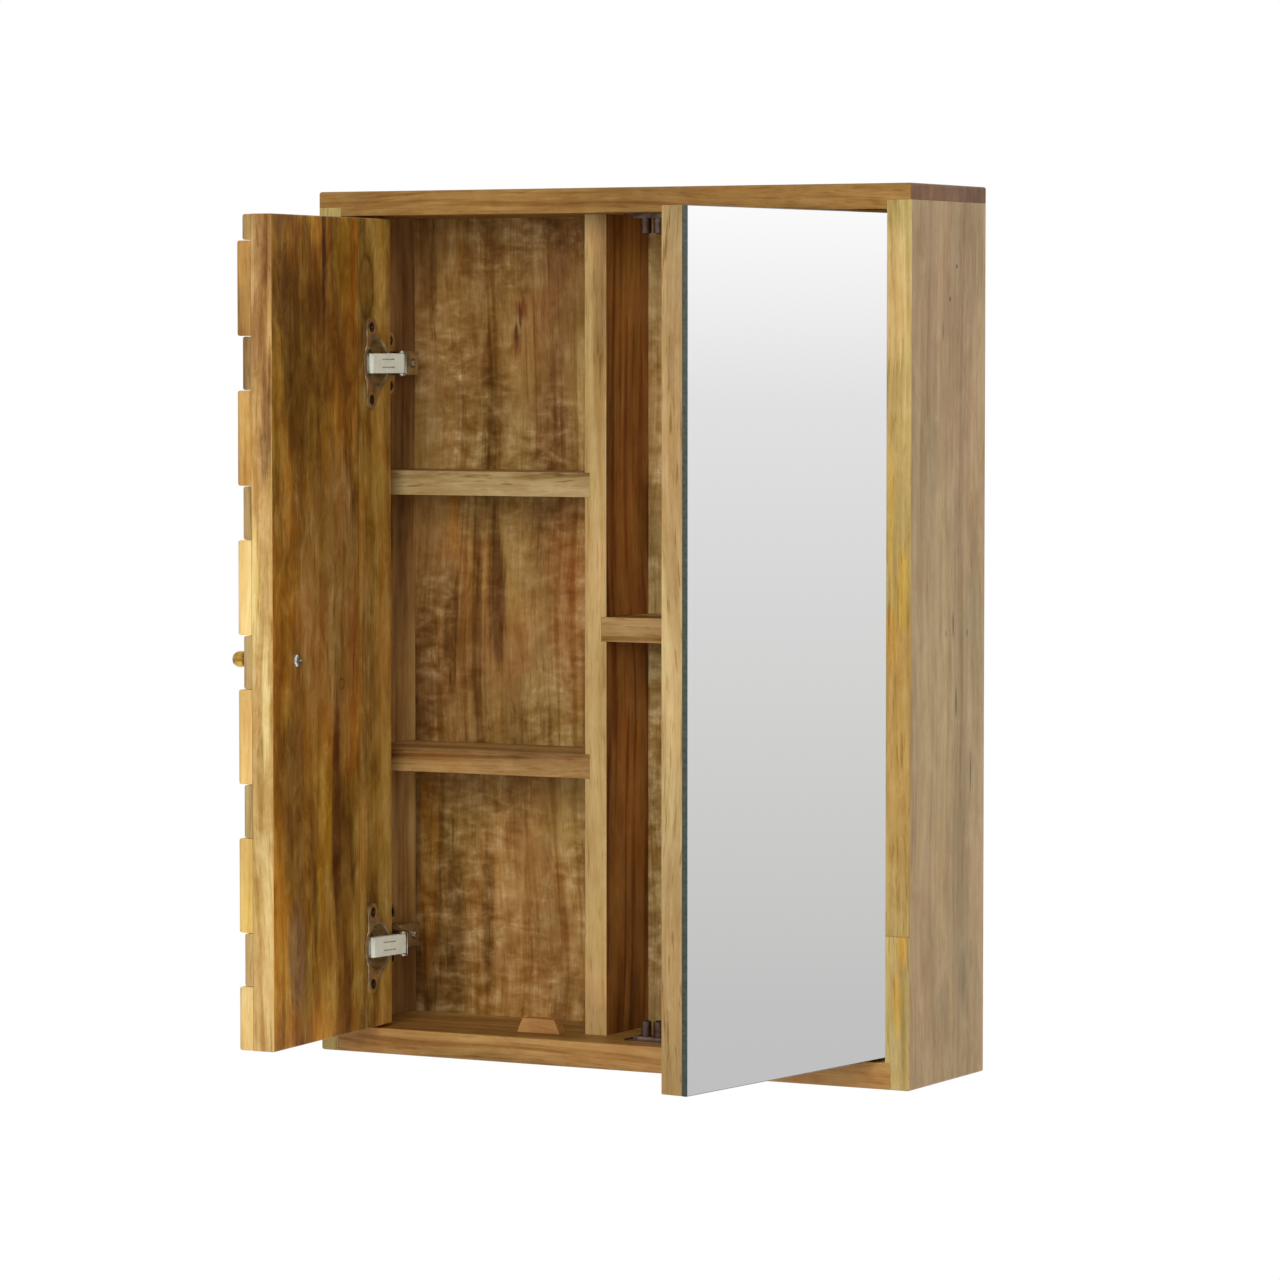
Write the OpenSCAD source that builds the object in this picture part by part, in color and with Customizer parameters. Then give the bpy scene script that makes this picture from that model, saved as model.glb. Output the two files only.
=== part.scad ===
// Wall cabinet with a carved door on the left and a mirror door on the right.
// Origin: middle of the bottom edge of the wall face. X runs to the right,
// Y runs back towards the wall and Z runs up. The doors stand open at rest.

/* [Cabinet] */
// Width over both side panels
cab_w = 457; // [440:1:520]
// Depth from the wall to the front edges
cab_d = 116; // [112:1:150]
// Height over all
cab_h = 600; // [580:1:700]
// Thickness of each side panel
side_t = 18; // [16:0.5:22]
// Thickness of the top panel
top_t = 17; // [14:0.5:22]
// Part of the top panel's thickness that laps over the side panels
top_lap = 11; // [6:0.5:12]
// Thickness of the bottom panel
bottom_t = 18; // [14:0.5:22]
// How far the bottom panel is let into each side panel
bottom_let = 4; // [2:0.5:6]
// Thickness of the back panel
back_t = 10; // [6:0.5:12]
// Distance of the back panel from the wall
back_inset = 6; // [4:0.5:10]
// Depth of the groove that holds the back panel
back_groove = 5; // [3:0.5:6]

/* [Inside] */
// Clear width of the left bays
left_bay_w = 172; // [150:1:190]
// Thickness of the divider
divider_t = 17; // [14:0.5:20]
// Distance of the divider and shelves behind the front edges
inside_setback = 39; // [36:0.5:50]
// Thickness of each shelf
shelf_t = 17; // [12:0.5:20]
// How far the shelf ends and the divider are housed in their neighbours
housing = 4; // [2:0.5:5]
// Height of the underside of the right shelf
right_shelf_z = 290; // [200:1:380]
// Width of the door stop at its foot
stop_w = 33.5; // [28:0.5:40]
// Width of the door stop at its top
stop_top_w = 25; // [14:0.5:27]
// Height of the door stop
stop_h = 10; // [6:0.5:14]
// Depth of the door stop from front to back
stop_d = 9; // [6:0.5:30]
// Gap between the door stop's foot and the divider
stop_gap = 14; // [2:0.5:30]

/* [Doors] */
// Gap between a door and its side panel
hinge_gap = 2.5; // [2.5:0.1:3]
// Gap above and below each door
end_gap = 2; // [1.5:0.1:3]
// Gap between the two doors
meet_gap = 2; // [1.5:0.1:3]
// Width of the carved door
carved_w = 177; // [160:1:190]
// Thickness of the solid board in each door
board_t = 16; // [15:0.5:18]
// Thickness of the mirror glass
glass_t = 4; // [3:0.5:5]
// Rounding of the mirror door's front corner beside its hinges
glass_round = 1.5; // [1.5:0.1:2.5]
// Angle that the carved door stands open
carved_open = 85.5; // [80:0.5:88]
// Angle that the mirror door stands open
mirror_open = 83; // [80:0.5:88]

/* [Carving] */
// Thickness of the low blocks
low_t = 7; // [5:0.5:7]
// Thickness of the raised blocks
raised_t = 11; // [10:0.5:11]
// Height of one raised block with the low block below it
block_pitch = 100; // [80:1:120]
// Height of a raised block
raised_h = 64; // [50:1:70]
// Distance from the door's top to its first raised block
first_raised = 17.6; // [10:0.1:30]
// Number of block columns
block_columns = 3; // [2:1:4]
// Width of the joint line between blocks
joint_line = 0.4; // [0.2:0.1:1]
// Rounding of the block edges
block_round = 3; // [2.5:0.1:3.5]

/* [Hinges] */
// Height of the lower hinges
low_hinge_z = 75.5; // [60:0.5:100]
// Distance of the upper hinges below the cabinet's top
high_hinge_down = 119; // [90:1:150]
// Diameter of the hinge cup
cup_d = 35; // [35:0.5:36]
// Depth of the hinge cup
cup_depth = 11.5; // [11:0.1:12]
// Wood left between the cup and the door's edge
cup_edge = 6; // [5.5:0.1:6.5]
// Distance between the two screws of a cup
cup_screw_spacing = 50; // [48:1:54]
// Distance of the cup screws beyond the cup's centre
cup_screw_offset = 8; // [6:0.5:9.5]
// Width of the lever over its cheeks
lever_w = 13.6; // [12:0.1:14]
// Thickness of the hinge's sheet metal
sheet_t = 1.2; // [1:0.1:1.3]
// Play beside and above the lever
lever_play = 0.3; // [0.2:0.05:0.4]
// Radius of the hinge rivets and cup pins
rivet_r = 1.4; // [1.2:0.1:1.6]
// Distance of the mounting screws behind the door's inner face
plate_screw_back = 37; // [35:0.5:38]
// Distance between the two screws of a mounting plate
plate_screw_spacing = 32; // [30:0.5:34]
// Height of the hinge arm above the side panel
arm_h = 13; // [12:0.1:15]
// Length of a mounting plate along the side panel
plate_l = 33; // [31:0.5:36]
// Width of a mounting plate beside its wings
plate_w = 16; // [14:0.5:20]
// Length of a plate's wings, which hold its screws
plate_wing = 12; // [11:0.5:14]
// Length of the saddle that the arm sits on
saddle_l = 29; // [27:0.5:31]

/* [Knob] */
// Diameter of the knob's head
knob_d = 11; // [9:0.5:14]
// Length of the knob in front of the low block
knob_l = 25; // [18:0.5:30]
// Distance of the knob from the door's free edge
knob_in = 35; // [28:0.5:40]

/* [Catches] */
// Distance of the catches from the mirror door's free edge
catch_in = 50; // [40:0.5:70]
// Distance of the rollers behind the front edges
catch_back = 27; // [26.5:0.1:30]
// Diameter of a catch roller
roller_d = 7.2; // [6.6:0.1:7.4]
// Height of a catch roller
roller_h = 10; // [8:0.5:11]
// Distance between the two rollers of a catch
roller_spacing = 9.7; // [9.7:0.1:10]
// Radius of the roller's pin
roller_pin_r = 1; // [0.8:0.1:1.2]
// Running clearance around the roller's pin
pin_clearance = 0.05; // [0.03:0.01:0.08]
// Depth of a catch housing from front to back
catch_d = 11; // [10:0.5:12]
// Thickness of the strike's blade
strike_t = 1.5; // [1:0.1:1.6]
// Width of the strike's plate
strike_w = 22; // [20:0.5:26]
// Height of the strike's plate
strike_h = 9; // [8:0.5:10]

/* [Hanging] */
// Width of a hanging plate
hanger_w = 14; // [12:0.5:16]
// Length of a hanging plate
hanger_l = 60; // [50:1:70]
// Thickness of a hanging plate
hanger_t = 2; // [1.5:0.1:3]
// Distance of the hanging holes below the cabinet's top
hanger_down = 70; // [55:1:120]
// Radius of the hanging hole that passes the screw head
hanger_hole_r = 4.5; // [4:0.1:5]

/* [Hidden] */
$fn = 48;
eps = 0.01;
inner_w = cab_w - 2 * side_t;
inner_top = cab_h - top_t;
inner_h = inner_top - bottom_t;
front_y = -cab_d;
back_front_y = -back_inset - back_t;
inside_front_y = front_y + inside_setback;
inside_d = back_front_y - inside_front_y;
left_in_x = -cab_w / 2 + side_t;
divider_x = left_in_x + left_bay_w;
left_shelf_gap = (inner_h - 2 * shelf_t) / 3;
lower_shelf_z = bottom_t + left_shelf_gap;
upper_shelf_z = lower_shelf_z + shelf_t + left_shelf_gap;
door_z = bottom_t + end_gap;
door_h = inner_h - 2 * end_gap;
mirror_w = inner_w - 2 * hinge_gap - meet_gap - carved_w;
carved_t = board_t + raised_t;
mirror_t = board_t + glass_t;
hinge_heights = [low_hinge_z, cab_h - high_hinge_down];
// Door axes, measured from the side panel's inner face and the front plane
carved_axis = [10.8, carved_t - 20];
mirror_axis = [12, mirror_t - 12.5];
cup_r = cup_d / 2;
cup_u = hinge_gap + cup_edge + cup_r;
// Nose rivet of the arm, from the side panel and in front of the door's inner face
nose_u = cup_u + 10.4;
nose_in = 5.6;
// Far end of the lever, along the open door from its edge and below its inner face
lever_reach = cup_edge + cup_r + 6.5;
lever_dip = 0.4;
// Barrel at the lever's far end, below its cover
barrel_in = 2.5;
barrel_r = 1.85;
cheek_z = lever_w / 2 + lever_play;
arm_half = cheek_z + sheet_t;
web_out = 2.5;
web_end = 62;
saddle_half = cheek_z - 1.4;
wood_screw_r = 1.75;
wood_screw_head_r = 3.6;
arm_screw_r = 2;
arm_screw_head_r = 3.2;
knob_z = door_z + door_h - first_raised - 2 * block_pitch - raised_h - (block_pitch - raised_h) / 2;
knob_screw_r = 2;
column_w = carved_w / block_columns;
catch_x = left_in_x + hinge_gap + carved_w + meet_gap + catch_in;
catch_y = front_y + catch_back;
catch_plate_t = 1.2;
catch_half = 19;
catch_box_half = 12;
catch_wall = 1.2;
catch_wall_h = 3.4;
jaw_play = 0.1;
jaw_h = 2.2;
jaw_w = roller_spacing - 1.6;
jaw_travel = 1.5;
pin_head_h = 0.8;
pin_head_r = roller_pin_r + 0.8;
catch_screw_x = 15.5;
strike_plate_t = 1.2;
hanger_x = (cab_w - side_t) / 2;
hanger_z = cab_h - hanger_down;
hanger_pocket_r = hanger_hole_r + 1.5;
hanger_pocket_d = 8;
hanger_screw_z = hanger_l / 2 - 8;

// A point turned clockwise by an angle about a centre
function turned(p, centre, a) = [
    centre.x + (p.x - centre.x) * cos(a) + (p.y - centre.y) * sin(a),
    centre.y - (p.x - centre.x) * sin(a) + (p.y - centre.y) * cos(a)
];

// Places a shape that is drawn from the left side panel's inner face and the front plane
module at_left() {
    translate([left_in_x, front_y, 0]) children();
}

module at_right() {
    mirror([1, 0, 0]) at_left() children();
}

// Swings a closed door, drawn in the same way, open about its axis
module swung(axis, angle) {
    translate([axis.x, axis.y, 0])
        rotate([0, 0, -angle])
            translate([-axis.x, -axis.y, 0]) children();
}

module on_carved_door() {
    at_left() swung(carved_axis, carved_open) children();
}

module on_mirror_door() {
    at_right() swung(mirror_axis, mirror_open) children();
}

// Turns a shape so that its Z runs towards the wall, or out of a closed door's inner face
module facing_back() {
    rotate([-90, 0, 0]) children();
}

module facing_front() {
    rotate([90, 0, 0]) children();
}

// Turns a shape so that its Z runs away from the side panel, into the cabinet
module facing_in() {
    rotate([0, 90, 0]) children();
}

// A countersunk wood screw, its head's face at Z = 0 and its point below
module wood_screw(length) {
    rotate_extrude()
        polygon([
            [0, 0], [wood_screw_head_r, 0], [wood_screw_head_r, -0.4], [wood_screw_r, -2.2],
            [wood_screw_r, 1 - length], [0, -length]
        ]);
}

// The hole that a wood screw fills, drawn as the screw is
module screw_hole(length) {
    wood_screw(length);
    cylinder(r = wood_screw_head_r, h = 1);
}

// Carcass

module side_board(shelf_heights, door_t) {
    difference() {
        translate([-cab_w / 2, front_y, 0]) cube([side_t, cab_d, cab_h - top_lap]);
        translate([left_in_x - bottom_let, front_y - eps, -eps])
            cube([bottom_let + eps, cab_d + 2 * eps, bottom_t + eps]);
        translate([left_in_x - back_groove, back_front_y, bottom_t - back_groove])
            cube([back_groove + eps, back_t, inner_h + 2 * back_groove]);
        for (z = shelf_heights)
            translate([left_in_x - housing, inside_front_y, z])
                cube([housing + eps, inside_d, shelf_t]);
        at_left()
            for (z = hinge_heights, side = [-1, 1])
                translate([sheet_t, door_t + plate_screw_back, z + side * plate_screw_spacing / 2])
                    facing_in() screw_hole(14);
        translate([-hanger_x - hanger_w / 2, -hanger_t, hanger_z - hanger_l / 2])
            cube([hanger_w, hanger_t + eps, hanger_l]);
        translate([-hanger_x, -hanger_t - hanger_pocket_d, hanger_z]) {
            facing_back() cylinder(r = hanger_pocket_r, h = hanger_pocket_d + eps);
            translate([-hanger_pocket_r, 0, 0])
                cube([2 * hanger_pocket_r, hanger_pocket_d + eps, 2.2 * hanger_hole_r + 1.5]);
        }
        for (side = [-1, 1])
            translate([-hanger_x, 0, hanger_z + side * hanger_screw_z]) facing_back() screw_hole(18);
    }
}

module left_side_panel() {
    color("burlywood") side_board([lower_shelf_z, upper_shelf_z], carved_t);
}

module right_side_panel() {
    color("burlywood") mirror([1, 0, 0]) side_board([right_shelf_z], mirror_t);
}

module top_panel() {
    color("peru")
        difference() {
            union() {
                translate([-cab_w / 2, front_y, cab_h - top_lap]) cube([cab_w, cab_d, top_lap]);
                translate([left_in_x, front_y, inner_top])
                    cube([inner_w, cab_d, top_t - top_lap + eps]);
            }
            translate([left_in_x, back_front_y, inner_top - eps])
                cube([inner_w, back_t, back_groove + eps]);
            translate([divider_x, inside_front_y, inner_top - eps])
                cube([divider_t, inside_d, housing + eps]);
            catch_screw_holes(inner_top, 1);
        }
}

module bottom_panel() {
    color("peru")
        difference() {
            translate([left_in_x - bottom_let, front_y, 0])
                cube([inner_w + 2 * bottom_let, cab_d, bottom_t]);
            translate([left_in_x - bottom_let - eps, back_front_y, bottom_t - back_groove])
                cube([inner_w + 2 * bottom_let + 2 * eps, back_t, back_groove + eps]);
            translate([divider_x, inside_front_y, bottom_t - housing])
                cube([divider_t, inside_d, housing + eps]);
            catch_screw_holes(bottom_t, -1);
        }
}

module back_panel() {
    color("tan")
        translate([left_in_x - back_groove, back_front_y, bottom_t - back_groove])
            cube([inner_w + 2 * back_groove, back_t, inner_h + 2 * back_groove]);
}

module center_divider() {
    color("wheat")
        difference() {
            translate([divider_x, inside_front_y, bottom_t - housing])
                cube([divider_t, inside_d, inner_h + 2 * housing]);
            for (z = [lower_shelf_z, upper_shelf_z])
                translate([divider_x - eps, inside_front_y - eps, z])
                    cube([housing + eps, inside_d + 2 * eps, shelf_t]);
            translate([divider_x + divider_t - housing, inside_front_y - eps, right_shelf_z])
                cube([housing + eps, inside_d + 2 * eps, shelf_t]);
        }
}

module shelf(x, clear_w, z) {
    translate([x - housing, inside_front_y, z]) cube([clear_w + 2 * housing, inside_d, shelf_t]);
}

module upper_left_shelf() {
    color("wheat") shelf(left_in_x, left_bay_w, upper_shelf_z);
}

module lower_left_shelf() {
    color("wheat") shelf(left_in_x, left_bay_w, lower_shelf_z);
}

module right_shelf() {
    color("wheat") shelf(divider_x + divider_t, inner_w - left_bay_w - divider_t, right_shelf_z);
}

// A block with sloping ends that stops the carved door flush with the front
module door_stop() {
    foot = stop_w / 2;
    crown = stop_top_w / 2;
    color("sienna")
        translate([divider_x - foot - stop_gap, front_y + carved_t + 0.5, bottom_t])
            rotate([90, 0, 0]) mirror([0, 0, 1])
                linear_extrude(stop_d)
                    polygon([[-foot, 0], [foot, 0], [crown, stop_h], [-crown, stop_h]]);
}

// Hanging plates

module hanging_plates() {
    color("silver")
        for (side = [-1, 1])
            translate([side * hanger_x, 0, hanger_z])
                difference() {
                    translate([-hanger_w / 2, -hanger_t, -hanger_l / 2])
                        cube([hanger_w, hanger_t, hanger_l]);
                    translate([0, -hanger_t - eps, 0])
                        facing_back() cylinder(r = hanger_hole_r, h = hanger_t + 2 * eps);
                    translate([-hanger_hole_r / 2, -hanger_t - eps, 0])
                        cube([hanger_hole_r, hanger_t + 2 * eps, 2.2 * hanger_hole_r]);
                    for (end = [-1, 1])
                        translate([0, 0, end * hanger_screw_z]) facing_back() screw_hole(18);
                }
}

module hanging_screws() {
    color("gray")
        for (side = [-1, 1], end = [-1, 1])
            translate([side * hanger_x, 0, hanger_z + end * hanger_screw_z])
                facing_back() wood_screw(18);
}

// Concealed hinges: mounting plate, arm, lever and cup

// The plate on the side panel, with the saddle that the arm sits on
module mounting_plate(door_t) {
    v = door_t + plate_screw_back;
    difference() {
        union() {
            translate([0, v - 12, -plate_w / 2]) cube([sheet_t, plate_l, plate_w]);
            translate([0, v - plate_wing / 2, -plate_screw_spacing / 2])
                cube([sheet_t, plate_wing, plate_screw_spacing]);
            for (side = [-1, 1])
                translate([0, v, side * plate_screw_spacing / 2])
                    facing_in() cylinder(d = plate_wing, h = sheet_t);
            translate([0, v - 10, -saddle_half])
                cube([arm_h - sheet_t, saddle_l, 2 * saddle_half]);
        }
        for (side = [-1, 1])
            translate([sheet_t, v, side * plate_screw_spacing / 2]) facing_in() screw_hole(14);
        for (back = [-4, 13])
            translate([arm_h - sheet_t - 7, v + back, 0])
                facing_in() cylinder(r = arm_screw_r, h = 8);
    }
}

// Two dimensional wedge between two angles, wider than any arm
function wedge(a, b) = concat([[0, 0]], [for (i = [0:4]) 80 * [cos(a + (b - a) * i / 4), sin(a + (b - a) * i / 4)]]);

module ring_part(inner, outer, a, b) {
    intersection() {
        difference() {
            circle(r = outer, $fn = 96);
            circle(r = inner, $fn = 96);
        }
        polygon(wedge(a, b));
    }
}

// The bent arm. Its nose curves about the door's axis, so that the lever folds under it
module hinge_arm(door_t, axis) {
    nose = [nose_u, door_t - nose_in];
    span = norm(nose - axis);
    nose_a = atan2(nose.y - axis.y, nose.x - axis.x);
    web_r = span + web_out;
    v = door_t + plate_screw_back;
    bend_in = axis + web_r * [cos(web_end), sin(web_end)];
    bend_out = axis + (web_r + sheet_t) * [cos(web_end), sin(web_end)];
    cheek_in = axis + (span - 2.5) * [cos(web_end), sin(web_end)];
    difference() {
        union() {
            translate([0, 0, -arm_half])
                linear_extrude(2 * arm_half) {
                    translate(axis) ring_part(web_r, web_r + sheet_t, nose_a + 6, web_end + eps);
                    polygon([
                        bend_in, bend_out, [arm_h, v - 13], [arm_h, v + 19],
                        [arm_h - sheet_t, v + 19], [arm_h - sheet_t, v - 13.5]
                    ]);
                }
            for (side = [-1, 1])
                translate([0, 0, side * (cheek_z + sheet_t / 2) - sheet_t / 2])
                    linear_extrude(sheet_t) {
                        translate(nose) circle(r = 3.2);
                        translate(axis) ring_part(span - 2.5, web_r + sheet_t / 2, nose_a, web_end + eps);
                        polygon([
                            cheek_in, bend_out, [arm_h - sheet_t / 2, v - 13],
                            [arm_h - sheet_t / 2, v + 19], [arm_h - 9, v + 19], [arm_h - 9, v - 12]
                        ]);
                    }
        }
        translate([nose.x, nose.y, -arm_half - eps]) cylinder(r = rivet_r, h = 2 * arm_half + 2 * eps);
        for (back = [-4, 13])
            translate([arm_h - sheet_t - 1, v + back, 0])
                facing_in() cylinder(r = arm_screw_r, h = sheet_t + 2);
    }
}

// The adjusting screw and the fixing screw that hold an arm to its saddle
module arm_screws(door_t) {
    v = door_t + plate_screw_back;
    for (back = [-4, 13])
        translate([arm_h, v + back, 0])
            facing_in() {
                translate([0, 0, -sheet_t - 6.5]) cylinder(r = arm_screw_r, h = sheet_t + 6.5 + eps);
                difference() {
                    cylinder(r = arm_screw_head_r, h = 1.8);
                    translate([-0.5, -arm_screw_head_r, 1]) cube([1, 2 * arm_screw_head_r, 1]);
                }
            }
}

module arm_rivets(door_t) {
    for (side = [0, 1])
        translate([nose_u, door_t - nose_in, 0]) mirror([0, 0, side]) {
            translate([0, 0, cheek_z]) cylinder(r = rivet_r, h = sheet_t + eps);
            translate([0, 0, arm_half]) cylinder(r1 = 2.4, r2 = 1.6, h = 0.8);
        }
}

// Puts a lever's own axes on the hinge: X from its nose end to its cup end, Y outwards
module on_lever(door_t, axis, open) {
    nose = [nose_u, door_t - nose_in];
    tip = turned([hinge_gap + lever_reach, door_t - lever_dip], axis, open);
    translate([nose.x, nose.y, 0]) rotate([0, 0, atan2(tip.y - nose.y, tip.x - nose.x)]) children();
}

function lever_length(door_t, axis, open) =
    norm(turned([hinge_gap + lever_reach, door_t - lever_dip], axis, open) - [nose_u, door_t - nose_in]);

// The outer lever: a pressed cover with two cheeks, pierced by two slots
module outer_lever(length) {
    difference() {
        translate([0, 0, -lever_w / 2])
            linear_extrude(lever_w)
                polygon([
                    [-1, 1.5 - sheet_t], [-1, 1.5], [length - 1, 1.5], [length + 1.6, 0.2],
                    [length + 1, -0.8], [length - 1.4, 1.5 - sheet_t]
                ]);
        for (side = [-1, 1])
            translate([length * 0.3, 1, side * 2.8 - 0.4]) cube([length * 0.38, 1, 0.8]);
    }
    for (side = [-1, 1])
        translate([0, 0, side * (lever_w - sheet_t) / 2 - sheet_t / 2])
            linear_extrude(sheet_t)
                polygon([
                    [-1, 1], [-1.6, 0], [-1, -1.6], [1, -2.2], [length * 0.4, -2.2],
                    [length * 0.6, -4.2], [length - 1, -4.5], [length + 1.2, -2.8],
                    [length + 1, 0], [length - 1, 1]
                ]);
    translate([length - 1.2, -barrel_in, -lever_w / 2]) cylinder(r = barrel_r, h = lever_w);
}

// The inner lever, a cranked strip between the outer lever's cheeks
module inner_lever(length) {
    half = lever_w / 2 - sheet_t - lever_play;
    translate([0, 0, -half])
        linear_extrude(2 * half)
            polygon([
                [1, -0.9], [length * 0.45, -0.9], [length * 0.7, -2.6], [length * 0.84, -2.6],
                [length * 0.84, -3.8], [length * 0.68, -3.8], [length * 0.43, -2.1], [1, -2.1]
            ]);
}

// The pressed cup with its flange, sunk in the door. Its mouth is in the inner face
module hinge_cup(door_t) {
    translate([cup_u, door_t, 0])
        facing_back()
            difference() {
                union() {
                    rotate_extrude()
                        polygon([
                            [0, -cup_depth], [cup_r, -cup_depth], [cup_r, 0], [cup_r + 1.8, 0],
                            [cup_r + 1.8, sheet_t - 0.4], [cup_r + 1.2, sheet_t], [cup_r - 1, sheet_t],
                            [cup_r - 1, 2 - cup_depth], [cup_r - 2, 1 - cup_depth], [0, 1 - cup_depth]
                        ]);
                    difference() {
                        linear_extrude(sheet_t)
                            hull() {
                                circle(r = cup_r - 2, $fn = 32);
                                for (side = [-1, 1])
                                    translate([cup_screw_offset, side * cup_screw_spacing / 2])
                                        circle(r = 6.5, $fn = 32);
                            }
                        translate([0, 0, -eps]) cylinder(r = cup_r - 0.5, h = sheet_t + 2 * eps);
                    }
                }
                for (side = [-1, 1])
                    translate([cup_screw_offset, side * cup_screw_spacing / 2, sheet_t]) screw_hole(12);
            }
}

module cup_screws(door_t) {
    for (side = [-1, 1])
        translate([cup_u + cup_screw_offset, door_t + sheet_t, side * cup_screw_spacing / 2])
            facing_back() wood_screw(12);
}

// Pins across the cup, one on each side of the lever, clear of the arm's rivets
module cup_pins(door_t) {
    inner_r = cup_r - 1;
    pin_start = arm_half + 1.2;
    reach = lever_reach - cup_edge - cup_r;
    wall_z = sqrt(inner_r * inner_r - (reach + rivet_r) * (reach + rivet_r));
    for (side = [0, 1])
        mirror([0, 0, side])
            translate([hinge_gap + lever_reach, door_t - lever_dip - barrel_in, pin_start])
                cylinder(r = rivet_r, h = wall_z - pin_start);
}

// What the cups and their screws take out of a door board
module cup_bores(door_t) {
    for (z = hinge_heights) {
        translate([cup_u, door_t - cup_depth, z]) facing_back() cylinder(r = cup_r, h = cup_depth + 1);
        for (side = [-1, 1])
            translate([
                cup_u + cup_screw_offset, door_t + sheet_t, z + side * cup_screw_spacing / 2
            ])
                facing_back() screw_hole(12);
    }
}

module at_hinges() {
    for (z = hinge_heights) translate([0, 0, z]) children();
}

module carved_hinge_plates() {
    color("silver") at_left() at_hinges() mounting_plate(carved_t);
}

module carved_plate_screws() {
    color("dimgray") plate_screws_at(carved_t);
}

module plate_screws_at(door_t) {
    at_left() at_hinges()
        for (side = [-1, 1])
            translate([sheet_t, door_t + plate_screw_back, side * plate_screw_spacing / 2])
                facing_in() wood_screw(14);
}

module carved_hinge_arms() {
    color("silver") at_left() at_hinges() hinge_arm(carved_t, carved_axis);
}

module carved_arm_screws() {
    color("gray") at_left() at_hinges() arm_screws(carved_t);
}

module carved_arm_rivets() {
    color("gray") at_left() at_hinges() arm_rivets(carved_t);
}

module carved_outer_levers() {
    color("gainsboro")
        at_left() at_hinges()
            on_lever(carved_t, carved_axis, carved_open)
                outer_lever(lever_length(carved_t, carved_axis, carved_open));
}

module carved_inner_levers() {
    color("darkgray")
        at_left() at_hinges()
            on_lever(carved_t, carved_axis, carved_open)
                inner_lever(lever_length(carved_t, carved_axis, carved_open));
}

module mirror_hinge_plates() {
    color("silver") at_right() at_hinges() mounting_plate(mirror_t);
}

module mirror_plate_screws() {
    color("dimgray") mirror([1, 0, 0]) plate_screws_at(mirror_t);
}

module mirror_hinge_arms() {
    color("silver") at_right() at_hinges() hinge_arm(mirror_t, mirror_axis);
}

module mirror_arm_screws() {
    color("gray") at_right() at_hinges() arm_screws(mirror_t);
}

module mirror_arm_rivets() {
    color("gray") at_right() at_hinges() arm_rivets(mirror_t);
}

module mirror_outer_levers() {
    color("gainsboro")
        at_right() at_hinges()
            on_lever(mirror_t, mirror_axis, mirror_open)
                outer_lever(lever_length(mirror_t, mirror_axis, mirror_open));
}

module mirror_inner_levers() {
    color("darkgray")
        at_right() at_hinges()
            on_lever(mirror_t, mirror_axis, mirror_open)
                inner_lever(lever_length(mirror_t, mirror_axis, mirror_open));
}

// Carved door

module carved_door_board() {
    color("sandybrown")
        on_carved_door()
            difference() {
                translate([hinge_gap, raised_t, door_z]) cube([carved_w, board_t, door_h]);
                cup_bores(carved_t);
                translate([hinge_gap + carved_w - knob_in, raised_t - eps, knob_z])
                    facing_back() cylinder(r = knob_screw_r, h = board_t + 2 * eps);
            }
}

// Outline of a block with rounded front edges: X across, Y from its back to its face
function block_outline(w, t) = concat(
    [[0, 0], [w, 0]],
    [for (i = [0:4]) [w - block_round + block_round * cos(i * 22.5), t - block_round + block_round * sin(i * 22.5)]],
    [for (i = [0:4]) [block_round - block_round * sin(i * 22.5), t - block_round + block_round * cos(i * 22.5)]]
);

// One block of the carving, its back at Y = 0 and its face at Y = -t
module block(w, t, h) {
    intersection() {
        mirror([0, 1, 0]) linear_extrude(h) polygon(block_outline(w, t));
        rotate([90, 0, 90]) mirror([1, 0, 0])
            linear_extrude(w) polygon([for (p = block_outline(h, t)) [p.y, p.x]]);
    }
}

// Every block whose upper edge is at one of the starts below the door's top
module block_rows(column, start, height, t) {
    stagger = column % 2 == 1 ? block_pitch / 2 : 0;
    for (row = [-1:ceil(door_h / block_pitch)]) {
        upper = max(0, start + stagger + row * block_pitch);
        lower = min(door_h, start + stagger + row * block_pitch + height);
        if (lower - upper > 3 * block_round)
            translate([
                hinge_gap + column * column_w + joint_line / 2, raised_t,
                door_z + door_h - lower + joint_line / 2
            ])
                block(column_w - joint_line, t, lower - upper - joint_line);
    }
}

module raised_blocks() {
    color("goldenrod")
        on_carved_door()
            for (column = [0:block_columns - 1])
                block_rows(column, first_raised, raised_h, raised_t);
}

module low_blocks() {
    color("darkgoldenrod")
        on_carved_door()
            difference() {
                for (column = [0:block_columns - 1])
                    block_rows(column, first_raised + raised_h, block_pitch - raised_h, low_t);
                translate([hinge_gap + carved_w - knob_in, -eps, knob_z])
                    facing_back() cylinder(r = knob_screw_r, h = raised_t + 2 * eps);
            }
}

module door_knob() {
    head_r = knob_d / 2;
    color("gold")
        on_carved_door()
            translate([hinge_gap + carved_w - knob_in, raised_t - low_t, knob_z])
                facing_front()
                    difference() {
                        rotate_extrude()
                            polygon([
                                [0, 0], [head_r - 0.5, 0], [head_r - 0.5, 1.2], [head_r * 0.5, 3],
                                [head_r * 0.45, knob_l * 0.4], [head_r * 0.6, knob_l * 0.55],
                                [head_r * 0.95, knob_l * 0.68], [head_r, knob_l * 0.78],
                                [head_r * 0.95, knob_l * 0.88], [head_r * 0.7, knob_l * 0.97],
                                [0, knob_l]
                            ]);
                        translate([0, 0, -eps]) cylinder(r = knob_screw_r, h = 8);
                    }
}

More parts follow.
